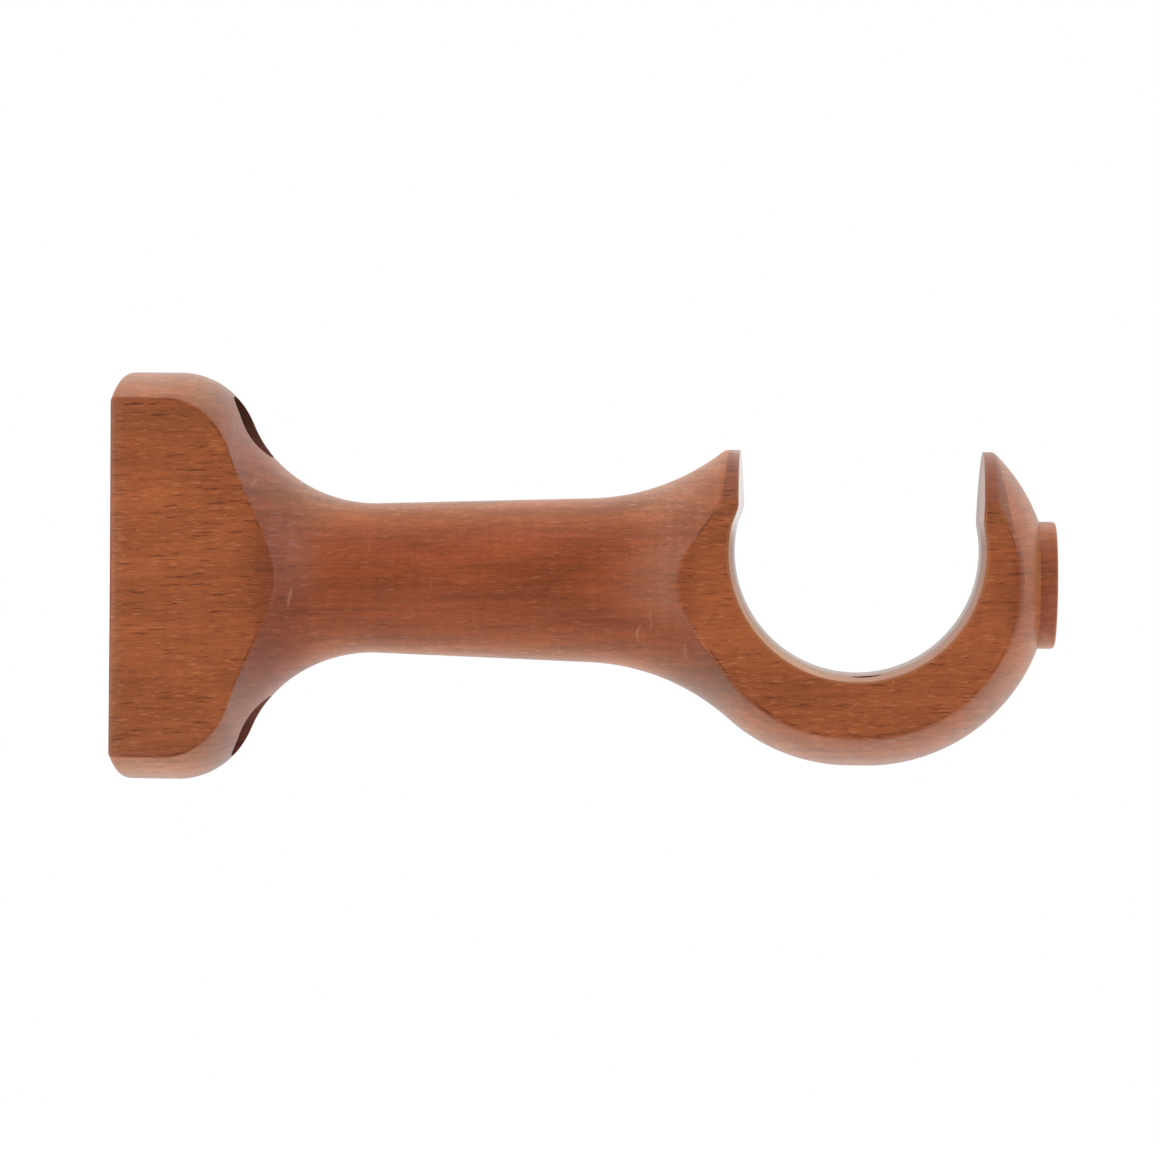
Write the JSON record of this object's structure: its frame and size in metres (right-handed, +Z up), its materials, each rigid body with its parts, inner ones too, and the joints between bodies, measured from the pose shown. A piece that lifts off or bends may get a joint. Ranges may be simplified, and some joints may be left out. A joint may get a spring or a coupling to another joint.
{
  "type": "curtain pole bracket",
  "caption": "Turned wooden wall bracket with a round base, a slim arm and an open-topped cup in its head that carries a curtain pole.",
  "frame": {"origin": "middle of the flat wall face, on the axis that the piece was turned about", "axes": "+X along the arm away from the wall, +Y along the pole, +Z up, out of the open mouth of the cup"},
  "size_m": [0.111, 0.025, 0.049],
  "materials": {
    "stained_wood": "satin lacquer over a warm brown stain"
  },
  "bodies": {
    "root": {"bracket_body": "stained_wood"}
  },
  "joints": []
}
